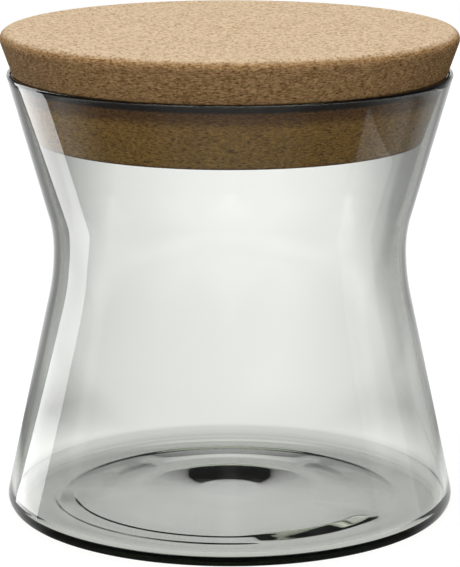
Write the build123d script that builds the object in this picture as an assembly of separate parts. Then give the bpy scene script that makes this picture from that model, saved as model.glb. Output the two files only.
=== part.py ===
from build123d import *
import math
import os

os.makedirs("parts", exist_ok=True)

# A waisted jar of mouth-blown glass and the tapered cork lid that closes it.
# Millimetres, +Z up. The origin is on the axis, on the table that the jar stands on.
# Every piece is a revolved section, drawn in the XZ plane from the axis outwards.

# Both pieces: the widest circle, at the edge of the lid, and how far the jar stays inside it
DIAMETER = 150.0
RIM_INSET = 1.9
WAIST_INSET = 16.5
BASE_INSET = 0.4

# Glass jar, outside
JAR_HEIGHT = 147.1
WAIST_HEIGHT = 88.3
FLARE_BEND = 42.5
SKIRT_BEND = 78.0
BEND_LIMIT_SHARE = 0.9
HEEL_RADIUS = 4.7

# Glass jar, thickness of the blown wall and of its fire-polished lip
WALL = 2.2
LIP_THICKNESS = 1.8

# Glass jar, base: thin, with a flat foot ring, a gentle shoulder and a pushed-up middle
FLOOR_THICKNESS = 3.3
CORNER_RADIUS = 3.0
SHOULDER_WIDTH = 16.0
FOOT_WIDTH = 12.0
FOOT_STEP = 1.5
FOOT_CROWN = 1.85
FLOOR_RING_WIDTH = 18.0
FLOOR_STEP = 1.2
FLOOR_CROWN = 0.7

# Cork lid, one turned piece that is its own stopper and tapers faster than the mouth
LID_THICKNESS = 35.1
TAPER_RELIEF = 3.3
LID_TOP_ROUND = 2.8
LID_FOOT_ROUND = 0.8

# Room between the cork's side and the glass lip that it rests on
SEAT_CLEARANCE = 0.25

# Small rounds are turned in flats that leave the true circle by this much at most
CHORD_SAG = 0.22

# Directions in the section, in degrees from straight outwards
UP = math.degrees(math.pi / 2)
INWARD = math.degrees(math.pi)


def on_circle(centre, radius, degrees):
    """The point of a circle in the section plane at an angle from the outward direction."""
    turn = math.radians(degrees)
    return (centre[0] + radius * math.cos(turn), centre[1] + radius * math.sin(turn))


def bend(centre, radius, first, last):
    """A gentle bend: one true arc from one angle to another."""
    CenterArc(centre, radius, first, last - first)


def tight_round(centre, radius, first, last):
    """A small round: even chords of a circle from one angle to another."""
    widest = 2 * math.degrees(math.acos(1 - CHORD_SAG / radius))
    chords = math.ceil(abs(last - first) / widest)
    Polyline(*[on_circle(centre, radius, first + (last - first) * i / chords) for i in range(chords + 1)])


def lean(low, low_offset, high, high_offset):
    """How far a wall leans outwards as it rises, in degrees.

    The wall runs straight between two circles. Each offset is the radius of a circle
    that the wall passes on its outer side, or minus the radius where it passes inside.
    """
    across = high[0] - low[0]
    up = high[1] - low[1]
    slant = math.asin((low_offset - high_offset) / math.hypot(across, up))
    return math.degrees(math.atan2(across, up) - slant)


def crown(edge, rise):
    """A shallow cap: one true arc from an edge up to the axis, level where it gets there."""
    RadiusArc(edge, (0, edge[1] + rise), -(edge[0] ** 2 + rise ** 2) / (2 * rise))


radius = DIAMETER / 2
lip = LIP_THICKNESS / 2

# The bends of the waist, which stay below a share of the height of the walls that they lead to
flare_bend = min(FLARE_BEND, BEND_LIMIT_SHARE * (JAR_HEIGHT - WAIST_HEIGHT))
skirt_bend = min(SKIRT_BEND, BEND_LIMIT_SHARE * WAIST_HEIGHT)

lip_centre = (radius - RIM_INSET - lip, JAR_HEIGHT - lip)
heel_centre = (radius - BASE_INSET - HEEL_RADIUS, HEEL_RADIUS)
flare_centre = (radius - WAIST_INSET + flare_bend, WAIST_HEIGHT)
skirt_centre = (radius - WAIST_INSET + skirt_bend, WAIST_HEIGHT)

# How the walls of the jar lean, and the lid's side, which leans further than the mouth
inner_flare_bend = flare_bend + WALL
inner_skirt_bend = skirt_bend + WALL
skirt = lean(heel_centre, HEEL_RADIUS, skirt_centre, -skirt_bend)
flare = lean(flare_centre, -flare_bend, lip_centre, lip)
inner_flare = lean(flare_centre, -inner_flare_bend, lip_centre, -lip)
taper = inner_flare + TAPER_RELIEF


def glass_jar():
    """The jar: foot, heel, skirt, waist, flare, full-round lip, and the same way back inside."""
    # The inner corner rounds the floor into the wall, which keeps its thickness down to there.
    corner_height = FLOOR_THICKNESS + CORNER_RADIUS
    inward = WALL + CORNER_RADIUS - HEEL_RADIUS
    skirt_turn = math.radians(skirt)
    corner_shift = (corner_height - HEEL_RADIUS) * math.tan(skirt_turn) - inward / math.cos(skirt_turn)
    corner_centre = (heel_centre[0] + corner_shift, corner_height)

    foot_edge = heel_centre[0] - FOOT_WIDTH
    foot_crown_edge = (foot_edge - SHOULDER_WIDTH, FOOT_STEP)
    ring_edge = corner_centre[0] - FLOOR_RING_WIDTH
    floor_crown_edge = (ring_edge - SHOULDER_WIDTH, FLOOR_THICKNESS + FLOOR_STEP)

    with BuildPart() as jar:
        with BuildSketch(Plane.XZ):
            with BuildLine():
                crown(foot_crown_edge, FOOT_CROWN)
                Polyline(foot_crown_edge, (foot_edge, 0), (heel_centre[0], 0))
                tight_round(heel_centre, HEEL_RADIUS, -UP, -skirt)
                Line(
                    on_circle(heel_centre, HEEL_RADIUS, -skirt),
                    on_circle(skirt_centre, skirt_bend, INWARD - skirt),
                )
                bend(skirt_centre, skirt_bend, INWARD - skirt, INWARD)
                tight_round(flare_centre, flare_bend, INWARD, INWARD - flare)
                Line(
                    on_circle(flare_centre, flare_bend, INWARD - flare),
                    on_circle(lip_centre, lip, -flare),
                )
                tight_round(lip_centre, lip, -flare, INWARD - inner_flare)
                Line(
                    on_circle(lip_centre, lip, INWARD - inner_flare),
                    on_circle(flare_centre, inner_flare_bend, INWARD - inner_flare),
                )
                tight_round(flare_centre, inner_flare_bend, INWARD - inner_flare, INWARD)
                bend(skirt_centre, inner_skirt_bend, INWARD, INWARD - skirt)
                Line(
                    on_circle(skirt_centre, inner_skirt_bend, INWARD - skirt),
                    on_circle(corner_centre, CORNER_RADIUS, -skirt),
                )
                tight_round(corner_centre, CORNER_RADIUS, -skirt, -UP)
                Polyline((corner_centre[0], FLOOR_THICKNESS), (ring_edge, FLOOR_THICKNESS), floor_crown_edge)
                crown(floor_crown_edge, FLOOR_CROWN)
                Line((0, floor_crown_edge[1] + FLOOR_CROWN), (0, FOOT_STEP + FOOT_CROWN))
            make_face()
        revolve(axis=Axis.Z)
    return jar.part


def cork_lid():
    """The lid: a flat top with a rounded edge and one straight taper that seats on the lip."""
    taper_turn = math.radians(taper)
    edge_radius = radius - LID_TOP_ROUND

    # The taper passes the centre of the lip at the lip's own radius plus the clearance.
    reach = (lip_centre[0] - edge_radius) * math.cos(taper_turn) - LID_TOP_ROUND - lip - SEAT_CLEARANCE
    edge_height = lip_centre[1] - reach / math.sin(taper_turn)
    edge_centre = (edge_radius, edge_height)
    top = edge_height + LID_TOP_ROUND
    foot = top - LID_THICKNESS
    drop = edge_height - foot - LID_FOOT_ROUND
    narrower = LID_TOP_ROUND - LID_FOOT_ROUND - drop * math.sin(taper_turn)
    foot_centre = (edge_radius + narrower / math.cos(taper_turn), foot + LID_FOOT_ROUND)

    with BuildPart() as lid:
        with BuildSketch(Plane.XZ):
            with BuildLine():
                Line((0, foot), (foot_centre[0], foot))
                tight_round(foot_centre, LID_FOOT_ROUND, -UP, -taper)
                Line(
                    on_circle(foot_centre, LID_FOOT_ROUND, -taper),
                    on_circle(edge_centre, LID_TOP_ROUND, -taper),
                )
                tight_round(edge_centre, LID_TOP_ROUND, -taper, 0)
                tight_round(edge_centre, LID_TOP_ROUND, 0, UP)
                Line((edge_radius, top), (0, top))
                Line((0, top), (0, foot))
            make_face()
        revolve(axis=Axis.Z)
    print("lid from", round(foot, 2), "to", round(top, 2), "and its taper", round(taper, 2))
    return lid.part


for name, build in {"glass_jar": glass_jar, "cork_lid": cork_lid}.items():
    export_step(build(), f"parts/{name}.step")
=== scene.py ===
"""A waisted glass jar with its tapered cork lid, in a plain pale studio."""

import logging
import math
from collections.abc import Sequence
from dataclasses import dataclass
from enum import Enum

import bmesh
import bpy
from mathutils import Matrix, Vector

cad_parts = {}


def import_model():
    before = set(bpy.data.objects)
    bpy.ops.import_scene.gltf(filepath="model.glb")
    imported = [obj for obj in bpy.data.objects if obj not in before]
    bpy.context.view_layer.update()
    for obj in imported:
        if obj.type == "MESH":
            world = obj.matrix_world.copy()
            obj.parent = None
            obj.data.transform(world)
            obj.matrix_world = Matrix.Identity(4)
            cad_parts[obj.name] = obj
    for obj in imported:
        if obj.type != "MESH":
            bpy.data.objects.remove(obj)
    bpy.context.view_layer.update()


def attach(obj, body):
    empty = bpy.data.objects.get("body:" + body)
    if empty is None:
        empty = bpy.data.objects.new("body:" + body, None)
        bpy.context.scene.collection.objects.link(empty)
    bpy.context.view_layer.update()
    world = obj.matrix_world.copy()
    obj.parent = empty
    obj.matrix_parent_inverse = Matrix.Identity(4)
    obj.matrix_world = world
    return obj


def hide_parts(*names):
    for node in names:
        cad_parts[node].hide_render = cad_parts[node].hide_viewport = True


LOG = logging.getLogger("jar")
WHITE = (1.0, 1.0, 1.0, 1.0)

# A millimetre in metres, and how close two corners of a mesh are when they become one, in metres
MM = 0.001
MERGE = 1e-6

# The radii in millimetres between which the base is drawn in half steps
SHOULDER = (47.0, 60.0)

Point = tuple[float, float]
Colour = tuple[float, float, float]
Socket = bpy.types.NodeSocket


class Ray(Enum):
    """The kinds of ray that a finish can tell apart."""

    CAMERA = "Is Camera Ray"
    SHADOW = "Is Shadow Ray"
    GLOSSY = "Is Glossy Ray"
    TRANSMISSION = "Is Transmission Ray"


class Body(Enum):
    """The bodies of the frame that the pieces ride on."""

    JAR = "jar"
    LID = "lid"


class Nodes:
    """A material's node tree, with short ways to add a node and join two."""

    def __init__(self, name: str) -> None:
        """Makes an empty material.

        Args:
            name: The material's name.
        """
        self.material = bpy.data.materials.new(name)
        self.material.use_nodes = True
        self.tree = self.material.node_tree
        self.tree.nodes.clear()

    def add(self, kind: str, **settings: object) -> bpy.types.Node:
        """Adds a node and sets its properties, or the defaults of its inputs.

        Args:
            kind: The node's type, without the ShaderNode at its front.
            settings: Properties by their own names, and inputs by theirs, with _ for a space.

        Returns:
            The new node.
        """
        node = self.tree.nodes.new("ShaderNode" + kind)
        for key, value in settings.items():
            if hasattr(node, key):
                setattr(node, key, value)
            else:
                node.inputs[key.replace("_", " ")].default_value = value
        return node

    def join(self, source: Socket, target: Socket) -> None:
        """Links an output to an input."""
        self.tree.links.new(source, target)

    def colours(self, factor: Socket, *stops: tuple[float, Colour]) -> Socket:
        """Adds a colour ramp.

        Args:
            factor: The output that drives the ramp.
            stops: Pairs of a place from 0 to 1 and a colour.

        Returns:
            The ramp's colour output.
        """
        ramp = self.add("ValToRGB")
        band = ramp.color_ramp.elements
        while len(band) < len(stops):
            band.new(0.5)
        for element, (place, colour) in zip(band, stops):
            element.position = place
            element.color = (*colour, 1)
        self.join(factor, ramp.inputs["Fac"])
        return ramp.outputs["Color"]

    def blend(
        self,
        factor: float | Socket,
        first: Colour | Socket,
        second: Colour | Socket,
        mode: str = "MIX",
    ) -> Socket:
        """Mixes two colours.

        Args:
            factor: How much of the second colour shows, as a number or an output.
            first: The colour underneath.
            second: The colour on top.
            mode: The mix node's blend type.

        Returns:
            The mixed colour output.
        """
        mix = self.add("Mix", data_type="RGBA", blend_type=mode)
        for socket, value in ((mix.inputs[0], factor), (mix.inputs[6], first), (mix.inputs[7], second)):
            if isinstance(value, Socket):
                self.join(value, socket)
            else:
                socket.default_value = value if isinstance(value, float) else (*value, 1)
        return mix.outputs[2]

    def maths(self, operation: str, *values: float | Socket) -> Socket:
        """Adds a maths node.

        Args:
            operation: The node's operation.
            values: Numbers or outputs for its inputs, in order.

        Returns:
            The node's output.
        """
        node = self.add("Math", operation=operation)
        for socket, value in zip(node.inputs, values):
            if isinstance(value, Socket):
                self.join(value, socket)
            else:
                socket.default_value = value
        return node.outputs[0]

    def finish(self, surface: Socket, volume: Socket | None = None) -> bpy.types.Material:
        """Joins the surface and the volume to the output.

        Args:
            surface: The shader of the surface.
            volume: The shader of the volume, or None.

        Returns:
            The material.
        """
        output = self.add("OutputMaterial")
        self.join(surface, output.inputs["Surface"])
        if volume is not None:
            self.join(volume, output.inputs["Volume"])
        return self.material


@dataclass(frozen=True)
class SmokeGlass:
    """Clear blown glass with a light grey-green smoke in its body."""

    roughness: float = 0.0
    ior: float = 1.5
    smoke: Colour = (0.845, 0.88, 0.79)
    density: float = 100.0

    def make(self) -> bpy.types.Material:
        """Makes the glass, which lets the lamps through without caustics."""
        nodes = Nodes("smoke_glass_blown")
        glass = nodes.add("BsdfPrincipled", Base_Color=WHITE, Transmission_Weight=1.0)
        glass.inputs["Roughness"].default_value = self.roughness
        glass.inputs["IOR"].default_value = self.ior
        clear = nodes.add("BsdfTransparent")
        path = nodes.add("LightPath")
        either = nodes.add("MixShader")
        nodes.join(path.outputs[Ray.SHADOW.value], either.inputs[0])
        nodes.join(glass.outputs[0], either.inputs[1])
        nodes.join(clear.outputs[0], either.inputs[2])
        smoke = nodes.add("VolumeAbsorption", Color=(*self.smoke, 1), Density=self.density)
        return nodes.finish(either.outputs[0], smoke.outputs[0])


@dataclass(frozen=True)
class PressedCork:
    """Pressed cork granules: a pale sanded top and a darker side with the marks of the lathe.

    The side has painted shade by height: it is darkest in a ring where the glass rim meets it, darker just
    below that ring and darker at the foot. Between the foot and that shade the plug is yellower. Scales are
    in cells or waves to the metre, and the foot and the top are heights in metres. The cork is all side or
    all top where the upward part of the surface's normal is below side_until or above top_from.
    """

    granules: float = 1400.0
    cloud_scale: float = 1900.0
    cloud_detail: float = 3.0
    cloud_roughness: float = 0.65
    cloud_weight: float = 1.2
    top_stops: tuple[tuple[float, Colour], ...] = (
        (0.0, (0.40, 0.26, 0.13)),
        (0.3, (0.71, 0.53, 0.345)),
        (0.9, (0.84, 0.65, 0.45)),
    )
    lathe_scale: float = 600.0
    lathe_detail: float = 4.0
    lathe_roughness: float = 0.75
    lathe_squash: float = 5.0
    lathe_grain: float = 0.12
    side_stops: tuple[tuple[float, Colour], ...] = (
        (0.33, (0.15, 0.07, 0.025)),
        (0.5, (0.50, 0.295, 0.13)),
        (0.68, (0.82, 0.52, 0.26)),
    )
    # Painted shade by height: near black in a ring where the glass rim meets the side, dark just below it
    # and at the foot; the plug between is yellower
    side_tone_and_painted_shade: tuple[tuple[float, Colour], ...] = (
        (0.0, (0.25, 0.2, 0.1)),
        (0.03, (0.8, 0.74, 0.33)),
        (0.37, (0.9, 0.82, 0.38)),
        (0.45, (0.45, 0.36, 0.17)),
        (0.52, (0.36, 0.26, 0.12)),
        (0.54, (0.02, 0.02, 0.02)),
        (0.603, (0.02, 0.02, 0.02)),
        (0.612, (1.0, 1.0, 1.0)),
    )
    foot: float = 0.12574
    top: float = 0.16084
    side_until: float = 0.55
    top_from: float = 0.99
    bump_strength: float = 0.18
    bump_depth: float = 0.0002
    roughness: float = 0.85
    specular: float = 0.03

    def side(self, nodes: Nodes, place: Socket, grain: Socket) -> Socket:
        """Colours the turned side.

        Args:
            nodes: The material's nodes.
            place: The place on the piece.
            grain: The granules, about 0 where dark and 1 where pale.

        Returns:
            The colour.
        """
        squashed = nodes.add("VectorMath", operation="MULTIPLY")
        squashed.inputs[1].default_value = (1, 1, self.lathe_squash)
        nodes.join(place, squashed.inputs[0])
        lines = nodes.add(
            "TexNoise", Scale=self.lathe_scale, Detail=self.lathe_detail, Roughness=self.lathe_roughness
        )
        nodes.join(squashed.outputs[0], lines.inputs["Vector"])
        rough = nodes.maths("MULTIPLY_ADD", grain, self.lathe_grain, -self.lathe_grain / 2)
        colour = nodes.colours(nodes.maths("ADD", lines.outputs["Fac"], rough), *self.side_stops)
        # Painted shade: the side's colour is multiplied by the tints for its height
        height = nodes.add("SeparateXYZ")
        nodes.join(place, height.inputs[0])
        share = nodes.add("MapRange", From_Min=self.foot, From_Max=self.top)
        nodes.join(height.outputs["Z"], share.inputs["Value"])
        return nodes.blend(1.0, colour, nodes.colours(share.outputs[0], *self.side_tone_and_painted_shade), "MULTIPLY")

    def make(self) -> bpy.types.Material:
        """Makes the cork's material on the piece's own place in space."""
        nodes = Nodes("cork_pressed")
        place = nodes.add("TexCoord").outputs["Object"]
        cells = nodes.add("TexVoronoi", Scale=self.granules)
        nodes.join(place, cells.inputs["Vector"])
        grey = nodes.add("SeparateColor")
        nodes.join(cells.outputs["Color"], grey.inputs[0])
        cloud = nodes.add(
            "TexNoise", Scale=self.cloud_scale, Detail=self.cloud_detail, Roughness=self.cloud_roughness
        )
        nodes.join(place, cloud.inputs["Vector"])
        weight = self.cloud_weight
        patchy = nodes.maths("MULTIPLY_ADD", cloud.outputs["Fac"], weight, -weight / 2)
        grain = nodes.maths("ADD", grey.outputs[0], patchy)
        top = nodes.colours(grain, *self.top_stops)

        facing = nodes.add("SeparateXYZ")
        nodes.join(nodes.add("NewGeometry").outputs["Normal"], facing.inputs[0])
        upward = nodes.add("MapRange", From_Min=self.side_until, From_Max=self.top_from)
        nodes.join(facing.outputs["Z"], upward.inputs["Value"])
        colour = nodes.blend(upward.outputs[0], self.side(nodes, place, grain), top)

        bump = nodes.add("Bump", Strength=self.bump_strength, Distance=self.bump_depth)
        nodes.join(grain, bump.inputs["Height"])
        cork = nodes.add("BsdfPrincipled", Roughness=self.roughness, Specular_IOR_Level=self.specular)
        nodes.join(colour, cork.inputs["Base Color"])
        nodes.join(bump.outputs[0], cork.inputs["Normal"])
        return nodes.finish(cork.outputs[0])


@dataclass(frozen=True)
class StudioPaper:
    """The pale paper under and behind the jar, which keeps the shadow and looks white.

    The camera sees it white. Through the glass it shows painted light: it is brightest in straight bands
    that run out from the jar every 45 degrees and dims beside them, as a lit backdrop does between flags,
    with a painted shadow under the jar, painted light and shade round it, and dark up the wall. In the glass
    it shows a painted reflection, white behind the jar and dark at its front, and its lit part is painted
    darker.
    Distances and heights are in metres, and mirrored_to is in degrees to either side of straight
    behind the jar. Stops are pairs of a share and the brightness there.
    """

    reflectance: float = 0.35
    # Painted shade: the paper's lit part shows this dark in what the glass mirrors
    reflectance_mirrored: float = 0.07
    white_near: float = 0.80
    white_far: float = 0.97
    white_from: float = 0.15
    white_to: float = 0.9
    # Painted reflection: how bright the paper is in what the glass mirrors, far off and near the jar
    mirrored: tuple[Point, ...] = (
        (0.0, 0.03), (0.17, 0.15), (0.33, 1.0), (0.5, 1.0), (0.67, 0.8), (0.83, 0.2), (1.0, 0.03),
    )
    mirrored_to: float = 60.0
    mirrored_near: tuple[Point, ...] = ((0.0, 0.8), (0.55, 0.8), (0.7, 0.03), (1.0, 0.03))
    bands: int = 8
    # Painted light: bright bands that run out from the jar, dimmer between them
    across_band: tuple[Point, ...] = (
        (0.0, 1.0), (0.16, 0.97), (0.28, 0.92), (0.45, 0.86), (0.6, 0.6), (0.75, 0.35), (1.0, 0.15),
    )
    band_reach: float = 0.16
    # Painted shadow: through the glass the paper is dimmer under the jar, darkest near its foot ring
    painted_shadow_under_jar: tuple[Point, ...] = (
        (0.0, 0.64), (0.08, 0.62), (0.11, 0.52), (0.136, 0.46), (0.16, 0.57), (0.2, 0.75),
        (0.56, 0.76), (0.7, 0.79), (0.86, 0.82), (1.0, 0.87),
    )
    brightest: float = 1.17
    jar_reach: float = 0.5
    # Painted light and shade by direction round the jar, on the paper beyond round_to
    painted_light_round_jar: tuple[Point, ...] = (
        (0.0, 0.62), (0.07, 0.62), (0.12, 0.2), (0.19, 0.2), (0.27, 1.0), (0.31, 0.4), (0.41, 0.28),
        (0.447, 0.95), (0.5, 1.0), (0.515, 1.06), (0.55, 1.0), (0.585, 0.6), (0.62, 0.55), (0.68, 0.9),
        (0.7, 1.0), (0.81, 0.2), (0.88, 0.2), (0.93, 0.62), (1.0, 0.62),
    )
    round_from: float = 0.1
    round_to: float = 0.15
    # Painted dark: through the glass the paper is lit up to lit_to and dark above dark_from
    lit_to: float = 0.17
    dark_from: float = 0.25

    def levels(self, nodes: Nodes, value: Socket, stops: tuple[Point, ...]) -> Socket:
        """Turns a share into a brightness.

        Args:
            nodes: The material's nodes.
            value: The share, from 0 to 1.
            stops: Pairs of a share and the brightness there.

        Returns:
            The brightness.
        """
        return nodes.colours(value, *[(place, (level, level, level)) for place, level in stops])

    def painted_light_behind_glass(self, nodes: Nodes) -> Socket:
        """Paints the light and shade that the paper shows through the glass, from its place: bands, a shadow
        under the jar, light and shade round it, and dark up the wall.
        """
        place = nodes.add("SeparateXYZ")
        nodes.join(nodes.add("TexCoord").outputs["Object"], place.inputs[0])
        x, y = place.outputs["X"], place.outputs["Y"]
        squares = nodes.maths("ADD", nodes.maths("MULTIPLY", x, x), nodes.maths("MULTIPLY", y, y))
        away = nodes.maths("SQRT", squares)
        turned = nodes.maths("PINGPONG", nodes.maths("ARCTAN2", x, y), math.pi / self.bands)
        beside = nodes.maths("MULTIPLY", away, nodes.maths("SINE", turned))
        band = self.levels(nodes, nodes.maths("DIVIDE", beside, self.band_reach), self.across_band)
        under = self.levels(nodes, nodes.maths("DIVIDE", away, self.jar_reach), self.painted_shadow_under_jar)
        share = nodes.maths("MULTIPLY_ADD", nodes.maths("ARCTAN2", x, y), 1 / math.tau, 0.5)
        clear_of_jar = nodes.add("MapRange", From_Min=self.round_from, From_Max=self.round_to)
        nodes.join(away, clear_of_jar.inputs["Value"])
        side = nodes.blend(clear_of_jar.outputs[0], WHITE[:3], self.levels(nodes, share, self.painted_light_round_jar))
        height = nodes.add("MapRange", From_Min=self.dark_from, From_Max=self.lit_to)
        nodes.join(place.outputs["Z"], height.inputs["Value"])
        lit = nodes.maths("MULTIPLY", nodes.maths("MULTIPLY", side, self.brightest), height.outputs[0])
        return nodes.maths("MULTIPLY", nodes.maths("MULTIPLY", band, under), lit)

    def painted_reflection_in_glass(self, nodes: Nodes) -> Socket:
        """Paints the reflection of the paper in the glass: white behind the jar, dark at its front."""
        place = nodes.add("TexCoord").outputs["Object"]
        parts = nodes.add("SeparateXYZ")
        nodes.join(place, parts.inputs[0])
        angle = nodes.maths("ARCTAN2", parts.outputs["X"], parts.outputs["Y"])
        widest = math.radians(self.mirrored_to)
        aside = nodes.add("MapRange", From_Min=-widest, From_Max=widest)
        nodes.join(angle, aside.inputs["Value"])
        far = self.levels(nodes, aside.outputs[0], self.mirrored)
        around = nodes.maths("DIVIDE", nodes.maths("ABSOLUTE", angle), math.pi)
        near = self.levels(nodes, around, self.mirrored_near)
        away = nodes.add("VectorMath", operation="LENGTH")
        nodes.join(place, away.inputs[0])
        clear_of_jar = nodes.add("MapRange", From_Min=self.round_from, From_Max=self.round_to)
        nodes.join(away.outputs["Value"], clear_of_jar.inputs["Value"])
        return nodes.blend(clear_of_jar.outputs[0], near, far)

    def make(self) -> bpy.types.Material:
        """Makes the paper: part lit by the lamps, part white of its own for what is seen, with painted light
        through the glass and a painted reflection in it.
        """
        nodes = Nodes("studio_paper")
        path = nodes.add("LightPath")
        glossy, clear = path.outputs[Ray.GLOSSY.value], path.outputs[Ray.TRANSMISSION.value]
        unscattered = nodes.maths("SUBTRACT", 1.0, path.outputs["Diffuse Depth"])
        unscattered.node.use_clamp = True

        # Painted shade: the lit part is darker in what the glass mirrors, until a ray has scattered off
        # something matt
        matt = nodes.add("BsdfDiffuse")
        plain, in_glass = (self.reflectance,) * 3, (self.reflectance_mirrored,) * 3
        shade = nodes.blend(nodes.maths("MULTIPLY", glossy, unscattered), plain, in_glass)
        nodes.join(shade, matt.inputs["Color"])

        away = nodes.add("VectorMath", operation="LENGTH")
        nodes.join(nodes.add("TexCoord").outputs["Object"], away.inputs[0])
        white = nodes.add("MapRange", From_Min=self.white_from, From_Max=self.white_to)
        white.inputs["To Min"].default_value = self.white_near
        white.inputs["To Max"].default_value = self.white_far
        nodes.join(away.outputs["Value"], white.inputs["Value"])
        direct = nodes.maths("MULTIPLY", path.outputs[Ray.CAMERA.value], white.outputs[0])
        # Painted light: the paper glows in the painted patterns for rays through the glass and rays it
        # mirrors
        through = nodes.maths("MULTIPLY", clear, self.painted_light_behind_glass(nodes))
        reflected = nodes.maths("MAXIMUM", nodes.maths("SUBTRACT", glossy, clear), 0.0)
        mirrored = nodes.maths("MULTIPLY", reflected, self.painted_reflection_in_glass(nodes))
        seen = nodes.maths("ADD", direct, nodes.maths("ADD", mirrored, through))

        glow = nodes.add("Emission", Color=WHITE)
        nodes.join(nodes.maths("MULTIPLY", seen, unscattered), glow.inputs["Strength"])
        both = nodes.add("AddShader")
        nodes.join(matt.outputs[0], both.inputs[0])
        nodes.join(glow.outputs[0], both.inputs[1])
        return nodes.finish(both.outputs[0])


class Section:
    """Half of a round piece's outline, in millimetres from the axis and up, drawn point by point.

    Points closer together than the length called same count as one.
    """

    same: float = 1e-5

    def __init__(self, start: Point, step: float = 2.0) -> None:
        """Starts an outline.

        Args:
            start: The first point.
            step: The longest stretch between two points of a straight run.
        """
        self.points: list[Point] = [start]
        self.step = step

    def to(self, *points: Point) -> "Section":
        """Adds points, but none where the outline already is."""
        for point in points:
            if math.dist(self.points[-1], point) > self.same:
                self.points.append(point)
        return self

    def line(self, end: Point) -> "Section":
        """Draws a straight run in even steps.

        Args:
            end: Where the run ends.

        Returns:
            The outline itself.
        """
        start = self.points[-1]
        parts = max(1, math.ceil(math.dist(start, end) / self.step))
        for i in range(1, parts + 1):
            share = i / parts
            self.to((start[0] + (end[0] - start[0]) * share, start[1] + (end[1] - start[1]) * share))
        return self

    def arc(self, centre: Point, radius: float, first: float, last: float, parts: int) -> "Section":
        """Draws an arc, with a straight run to its start.

        Args:
            centre: The circle's centre.
            radius: The circle's radius.
            first: The angle that it starts at, in degrees from straight outwards.
            last: The angle that it ends at.
            parts: How many steps it has.

        Returns:
            The outline itself.
        """
        self.line(on_circle(centre, radius, first))
        for i in range(1, parts + 1):
            self.to(on_circle(centre, radius, first + (last - first) * i / parts))
        return self


def on_circle(centre: Point, radius: float, degrees: float) -> Point:
    """Finds a point of a circle in the section.

    Args:
        centre: The circle's centre.
        radius: The circle's radius.
        degrees: The angle from straight outwards.

    Returns:
        The point.
    """
    turn = math.radians(degrees)
    return (centre[0] + radius * math.cos(turn), centre[1] + radius * math.sin(turn))


def lean(low: Point, low_offset: float, high: Point, high_offset: float) -> float:
    """Finds how far a straight wall between two circles leans outwards.

    Args:
        low: Centre of the lower circle.
        low_offset: Its radius, or minus that where the wall passes on the inner side.
        high: Centre of the upper circle.
        high_offset: Its radius, with a sign in the same way.

    Returns:
        The lean in degrees.
    """
    across, up = high[0] - low[0], high[1] - low[1]
    slant = math.asin((low_offset - high_offset) / math.hypot(across, up))
    return math.degrees(math.atan2(across, up) - slant)


def rolling(start: Point, slopes: tuple[Point, ...], step: float = 0.6) -> list[Point]:
    """Draws a gently rolling surface from its outer edge to the axis.

    Args:
        start: The outer end, where the surface is flat.
        slopes: Pairs of a radius and how many degrees the surface climbs inwards there.
        step: The longest distance between two points, which is half as much in the shoulder.

    Returns:
        The points, from the outer end to the axis.
    """
    points = [start]
    knots = [(start[0], 0.0), *slopes]
    for (outer, steep), (inner, next_steep) in zip(knots, knots[1:]):
        in_shoulder = SHOULDER[0] <= inner and outer <= SHOULDER[1]
        parts = max(1, math.ceil((outer - inner) / (step / 2 if in_shoulder else step)))
        width = (outer - inner) / parts
        for i in range(parts):
            middle = math.radians(steep + (next_steep - steep) * (i + 0.5) / parts)
            radius, height = points[-1]
            points.append((radius - width, height + width * math.tan(middle)))
    points[-1] = (0.0, points[-1][1])
    return points


def along(points: Sequence[Point], place: float, soft: bool = False) -> float:
    """Reads a broken line at a place.

    Args:
        points: Its corners, whose first numbers all rise or all fall.
        place: The first number to read it at.
        soft: Whether the line levels out at each corner.

    Returns:
        The second number there, or the nearest end's.
    """
    for (first, low), (second, high) in zip(points, points[1:]):
        if min(first, second) <= place <= max(first, second):
            share = (place - first) / (second - first)
            if soft:
                share = share * share * (3 - 2 * share)
            return low + (high - low) * share
    ends = sorted((points[0], points[-1]))
    return ends[0][1] if place < ends[0][0] else ends[1][1]


def turn(name: str, points: list[Point], steps: int) -> bpy.types.Object:
    """Turns an outline round the axis, into a closed shell where it starts and ends on the axis.

    Args:
        name: The new piece's name.
        points: The outline in millimetres.
        steps: How many facets the piece has round the axis.

    Returns:
        The new object, at the origin.
    """
    bpy.ops.object.select_all(action="DESELECT")
    bpy.ops.mesh.primitive_circle_add(vertices=len(points), radius=points[0][1] * MM, location=(0, 0, 0))
    piece = bpy.context.object
    piece.name = piece.data.name = name
    bpy.ops.object.mode_set(mode="EDIT")
    mesh = bmesh.from_edit_mesh(piece.data)
    mesh.verts.ensure_lookup_table()
    for vertex, (radius, height) in zip(mesh.verts, points):
        vertex.co = (radius * MM, 0, height * MM)
    ends = {mesh.verts[0], mesh.verts[len(points) - 1]}
    closing = [edge for edge in mesh.edges if set(edge.verts) == ends]
    bmesh.ops.delete(mesh, geom=closing, context="EDGES")
    bmesh.update_edit_mesh(piece.data)
    bpy.ops.mesh.select_all(action="SELECT")
    bpy.ops.mesh.spin(steps=steps, angle=math.tau, center=(0, 0, 0), axis=(0, 0, 1))
    bpy.ops.mesh.select_all(action="SELECT")
    bpy.ops.mesh.remove_doubles(threshold=MERGE)
    bpy.ops.mesh.normals_make_consistent(inside=False)
    bpy.ops.object.mode_set(mode="OBJECT")
    bpy.ops.object.shade_smooth()
    return piece


@dataclass(frozen=True)
class Swell:
    """One way in which the base is uneven: its slopes there, and how much they count round the axis.

    Slopes are pairs of a radius in millimetres and how many degrees the glass climbs inwards there.
    The pairs round the axis hold degrees from the front towards +X, and a share.
    """

    floor: tuple[Point, ...]
    under: tuple[Point, ...]
    around: tuple[Point, ...]


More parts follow.
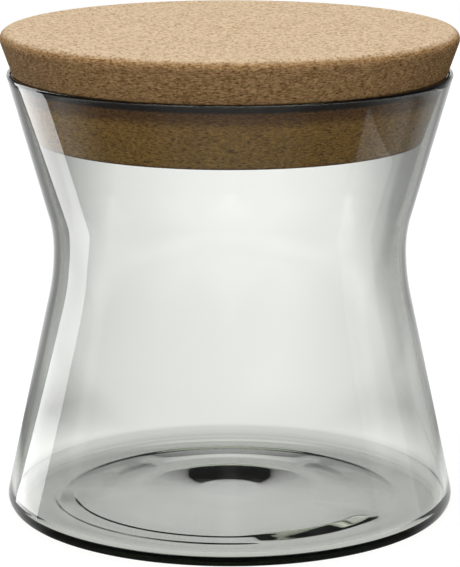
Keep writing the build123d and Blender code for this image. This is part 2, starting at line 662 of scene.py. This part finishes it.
# The slopes of the middle of the floor and of its under side, which most parts of the base share
FLOOR_MIDDLE = ((36.0, 3.0), (32.0, 3.0), (28.0, 1.5), (0.0, 0.0))
UNDER_MIDDLE = ((31.0, 2.6), (30.0, 3.3), (22.0, 3.4), (0.0, 0.0))

EVEN_FLOOR = ((60.0, 0.0), (54.2, 0.0), (51.2, 4.2), (47.5, 4.2), (38.7, 4.2), *FLOOR_MIDDLE)
EVEN_UNDER = (
    (58.0, 0.0), (56.0, 6.9), (47.0, 6.9), (40.3, 1.6), (31.0, 2.6), (30.0, 3.3), (22.0, 3.4), (16.0, 3.8),
    (11.0, 4.6), (9.0, 2.0), (0.0, 0.0),
)
STEEP_UNDER = ((60.5, 0.0), (58.8, 14.0), (57.0, 14.0), (54.8, 2.0), (46.0, 1.5), (40.3, 1.6), *UNDER_MIDDLE)
GENTLE_FLANKS = Swell(
    ((57.0, 0.0), (52.0, 3.8), (38.7, 3.8), *FLOOR_MIDDLE),
    ((58.0, 0.0), (56.0, 4.8), (47.0, 4.8), (36.0, 4.4), *UNDER_MIDDLE),
    (
        (-180.0, 0.0), (-158.0, 0.0), (-138.0, 1.0), (-95.0, 1.0), (-70.0, 0.0), (50.0, 0.0), (66.0, 1.0),
        (138.0, 1.0), (158.0, 0.0), (180.0, 0.0),
    ),
)
LEFT_RINGS = Swell(
    (
        (59.5, 0.0), (59.3, 28.0), (58.6, 28.0), (58.4, 0.0), (54.0, 0.5), (52.8, 1.0), (52.6, 16.0),
        (52.1, 16.0), (51.9, 1.5), (46.0, 2.0), (39.0, 3.0), *FLOOR_MIDDLE,
    ),
    STEEP_UNDER,
    ((-180.0, 0.0), (-95.0, 0.0), (-70.0, 1.0), (0.0, 1.0), (20.0, 0.0), (180.0, 0.0)),
)
STEEP_FRONT = Swell(
    ((57.0, 0.5), (56.2, 13.0), (51.9, 13.0), (50.8, 1.0), (46.0, 1.0), (38.7, 3.0), *FLOOR_MIDDLE),
    STEEP_UNDER,
    ((-180.0, 0.0), (0.0, 0.0), (20.0, 1.0), (50.0, 1.0), (66.0, 0.0), (180.0, 0.0)),
)


@dataclass
class BlownJar:
    """The glass: pushed-up base, heel, skirt, waist, flare and fire-polished lip, in millimetres."""

    height: float = 147.1
    rim: float = 146.2
    waist: float = 117.0
    waist_height: float = 88.3
    flare_bend: float = 42.5
    skirt_bend: float = 78.0
    base: float = 149.2
    heel: float = 4.7
    wall: float = 2.2
    lip: float = 1.8
    floor: float = 3.3
    corner: float = 3.0
    floor_slopes: tuple[Point, ...] = EVEN_FLOOR
    under_slopes: tuple[Point, ...] = EVEN_UNDER
    swells: tuple[Swell, ...] = (GENTLE_FLANKS, LEFT_RINGS, STEEP_FRONT)
    swell_from: float = 24.0
    swell_to: float = 46.0
    corner_parts: int = 14
    skirt_parts: int = 8
    flare_parts: int = 10
    lip_parts: int = 14
    heel_parts: int = 16
    steps: int = 208

    def outline(self) -> list[Point]:
        """Draws the whole section, from the axis on the floor up the inside and down to the table."""
        lip = self.lip / 2
        lip_centre = (self.rim / 2 - lip, self.height - lip)
        heel_centre = (self.base / 2 - self.heel, self.heel)
        flare_centre = (self.waist / 2 + self.flare_bend, self.waist_height)
        skirt_centre = (self.waist / 2 + self.skirt_bend, self.waist_height)
        inner_flare_bend = self.flare_bend + self.wall
        inner_skirt_bend = self.skirt_bend + self.wall
        skirt = lean(heel_centre, self.heel, skirt_centre, -self.skirt_bend)
        flare = lean(flare_centre, -self.flare_bend, lip_centre, lip)
        inner_flare = lean(flare_centre, -inner_flare_bend, lip_centre, -lip)

        corner_height = self.floor + self.corner
        inward = self.wall + self.corner - self.heel
        tilt = math.radians(skirt)
        shift = (corner_height - self.heel) * math.tan(tilt) - inward / math.cos(tilt)
        corner_centre = (heel_centre[0] + shift, corner_height)

        inside = rolling((corner_centre[0], self.floor), self.floor_slopes)[::-1]
        section = Section(inside[0]).to(*inside)
        section.arc(corner_centre, self.corner, -90, -skirt, self.corner_parts)
        section.arc(skirt_centre, inner_skirt_bend, 180 - skirt, 180, self.skirt_parts)
        section.arc(flare_centre, inner_flare_bend, 180, 180 - inner_flare, self.flare_parts)
        section.arc(lip_centre, lip, 180 - inner_flare, -flare, self.lip_parts)
        section.arc(flare_centre, self.flare_bend, 180 - flare, 180, self.flare_parts)
        section.arc(skirt_centre, self.skirt_bend, 180, 180 - skirt, self.skirt_parts)
        section.arc(heel_centre, self.heel, -skirt, -90, self.heel_parts)
        return section.to(*rolling((heel_centre[0], 0.0), self.under_slopes)).points

    def sag(self, jar: bpy.types.Object) -> None:
        """Makes the base uneven round the axis, as a blown base is.

        Args:
            jar: The jar as turned, whose base is still even.
        """
        edge = self.base / 2 - self.heel
        floor = rolling((edge, self.floor), self.floor_slopes)
        under = rolling((edge, 0.0), self.under_slopes)
        swollen = [
            (rolling((edge, self.floor), swell.floor), rolling((edge, 0.0), swell.under), swell.around)
            for swell in self.swells
        ]
        for vertex in jar.data.vertices:
            radius, height = math.hypot(vertex.co.x, vertex.co.y) / MM, vertex.co.z / MM
            if not (self.swell_from < radius < edge - self.corner and height < 2 * self.floor):
                continue
            top, bottom = along(floor, radius), along(under, radius)
            side = math.degrees(math.atan2(vertex.co.x, -vertex.co.y))
            fade = along(((self.swell_from, 0.0), (self.swell_to, 1.0)), radius, True)
            on_top = height >= (top + bottom) / 2
            for new_floor, new_under, around in swollen:
                change = along(new_floor, radius) - top if on_top else along(new_under, radius) - bottom
                vertex.co.z += along(around, side, True) * fade * change * MM

    def build(self, finish: SmokeGlass) -> bpy.types.Object:
        """Blows the jar and gives it its glass.

        Args:
            finish: The glass.

        Returns:
            The jar, which rides on its body and stands for the plain one.
        """
        jar = turn("jar_blown", self.outline(), self.steps)
        self.sag(jar)
        jar.data.materials.append(finish.make())
        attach(jar, Body.JAR.value)
        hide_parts("glass_jar")
        return jar


@dataclass
class CorkLid:
    """The lid: one turned piece of pressed cork, in millimetres, with the lathe's mark at its centre."""

    top: float = 160.84
    thickness: float = 35.1
    diameter: float = 150.0
    taper: float = 19.49
    top_round: float = 2.8
    foot_round: float = 0.8
    mark_radius: float = 4.5
    mark_edge: float = 0.6
    mark_depth: float = 0.5
    step: float = 4.0
    foot_parts: int = 5
    top_parts: int = 10
    steps: int = 256

    def outline(self) -> list[Point]:
        """Draws the section, from the middle of the foot round to the mark of the lathe's centre."""
        foot = self.top - self.thickness
        tilt = math.radians(self.taper)
        edge_centre = (self.diameter / 2 - self.top_round, self.top - self.top_round)
        drop = edge_centre[1] - foot - self.foot_round
        narrower = self.top_round - self.foot_round - drop * math.sin(tilt)
        foot_centre = (edge_centre[0] + narrower / math.cos(tilt), foot + self.foot_round)
        floor_of_mark = self.top - self.mark_depth
        section = Section((0.0, foot), self.step)
        section.arc(foot_centre, self.foot_round, -90, -self.taper, self.foot_parts)
        section.arc(edge_centre, self.top_round, -self.taper, 90, self.top_parts)
        section.line((self.mark_radius + self.mark_edge, self.top))
        section.to((self.mark_radius, self.top - self.mark_depth * 0.8))
        section.to((self.mark_radius * 0.6, floor_of_mark), (0.0, floor_of_mark))
        return section.points

    def build(self, finish: PressedCork) -> bpy.types.Object:
        """Turns the lid and gives it its cork.

        Args:
            finish: The cork.

        Returns:
            The lid, which rides on its body and stands for the plain one.
        """
        lid = turn("lid_turned", self.outline(), self.steps)
        lid.data.materials.append(finish.make())
        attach(lid, Body.LID.value)
        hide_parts("cork_lid")
        return lid


@dataclass
class Softbox:
    """A flat rectangular lamp, in metres. The camera doesn't see it, and the glass may mirror it."""

    name: str
    place: tuple[float, float, float]
    aim: tuple[float, float, float]
    width: float
    height: float
    brightness: float
    lights_cork: bool = True
    mirrored: bool = True

    def build(self) -> None:
        """Hangs the lamp and turns it to what it lights."""
        bpy.ops.object.light_add(type="AREA", location=self.place)
        lamp = bpy.context.object
        lamp.name = lamp.data.name = self.name
        lamp.data.shape = "RECTANGLE"
        lamp.data.size = self.width
        lamp.data.size_y = self.height
        lamp.data.energy = self.brightness * math.pi * self.width * self.height
        lamp.rotation_euler = (Vector(self.aim) - Vector(self.place)).to_track_quat("-Z", "Y").to_euler()
        lamp.visible_camera = False
        lamp.visible_diffuse = self.lights_cork
        lamp.visible_glossy = self.mirrored
        lamp.visible_transmission = False


SOFTBOXES = (
    Softbox("overhead_softbox", (0, 0, 1.3), (0, 0, 0), 1.3, 1.3, 2.8),
    Softbox("front_softbox", (-0.12, -1.5, 0.5), (0, 0, 0.12), 1.0, 0.8, 3.1, mirrored=False),
    Softbox(
        "left_strip", (-0.096, -0.010, 0.251), (-0.015, -0.069, 0.251), 0.027, 0.5, 3.3, lights_cork=False
    ),
    Softbox(
        "right_strip", (0.134, -0.041, 0.042), (0.036, -0.061, 0.042), 0.06, 0.08, 0.6, lights_cork=False
    ),
)


@dataclass
class Studio:
    """A round table of pale paper with a low wall, and the lamps round it. Sizes are in millimetres.

    The paper lies a little under the jar, so that the foot ring and it don't share a plane.
    """

    flat: float = 1150.0
    bend: float = 250.0
    wall_height: float = 400.0
    drop: float = 0.3
    step: float = 60.0
    bend_parts: int = 12
    steps: int = 96
    surroundings: float = 0.08

    def paper(self) -> None:
        """Lays the floor and the low wall round it, which hides nothing from a camera."""
        floor = Section((0.0, -self.drop), self.step).line((self.flat, -self.drop))
        wall = Section((self.flat, -self.drop), self.step)
        wall.arc((self.flat, self.bend - self.drop), self.bend, -90, 0, self.bend_parts)
        wall.line((self.flat + self.bend, self.wall_height))
        paper = StudioPaper().make()
        for name, section in (("paper_floor", floor), ("paper_wall", wall)):
            sheet = turn(name, section.points, self.steps)
            sheet.data.materials.append(paper)
            sheet.visible_camera = section is floor

    def room(self) -> None:
        """Fills the rest of the room: white to the camera, dim to everything else."""
        world = bpy.data.worlds.new("room")
        bpy.context.scene.world = world
        world.use_nodes = True
        tree = world.node_tree
        tree.nodes.clear()
        path = tree.nodes.new("ShaderNodeLightPath")
        either = tree.nodes.new("ShaderNodeMixShader")
        output = tree.nodes.new("ShaderNodeOutputWorld")
        tree.links.new(path.outputs[Ray.CAMERA.value], either.inputs[0])
        tree.links.new(either.outputs[0], output.inputs["Surface"])
        for level, socket in ((self.surroundings, either.inputs[1]), (1.0, either.inputs[2])):
            light = tree.nodes.new("ShaderNodeBackground")
            light.inputs["Color"].default_value = (level, level, level, 1)
            tree.links.new(light.outputs[0], socket)

    def build(self) -> None:
        """Sets up the whole studio."""
        self.paper()
        for softbox in SOFTBOXES:
            softbox.build()
        self.room()
        bpy.context.scene.view_settings.view_transform = "Standard"


@dataclass
class Viewpoint:
    """The camera, fitted to the photograph's outline, in metres, radians and pixels of 460 by 567."""

    distance: float = 0.9374
    height: float = 0.2879
    pitch: float = 0.223
    focal_pixels: float = 2886.8
    image_height: float = 567.0
    sensor: float = 36.0
    aside: float = -0.2
    nearest: float = 0.01

    def build(self) -> None:
        """Places the camera and makes it the scene's own."""
        place = (0, -self.distance, self.height)
        bpy.ops.object.camera_add(location=place, rotation=(math.pi / 2 - self.pitch, 0, 0))
        camera = bpy.context.object
        camera.name = camera.data.name = "viewpoint"
        camera.data.sensor_width = self.sensor
        camera.data.lens = self.focal_pixels / self.image_height * self.sensor
        camera.data.clip_start = self.nearest
        camera.data.shift_x = -self.aside / self.image_height
        camera.data.dof.use_dof = False
        bpy.context.scene.camera = camera


def main() -> None:
    """Builds the jar, its lid and the studio, and reports each piece."""
    logging.basicConfig(level=logging.INFO, format="%(name)s: %(message)s")
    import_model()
    pieces = [BlownJar().build(SmokeGlass()), CorkLid().build(PressedCork())]
    for piece in pieces:
        LOG.info("%s has %d faces", piece.name, len(piece.data.polygons))
    Studio().build()
    Viewpoint().build()
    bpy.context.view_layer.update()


if __name__ == "__main__":
    main()
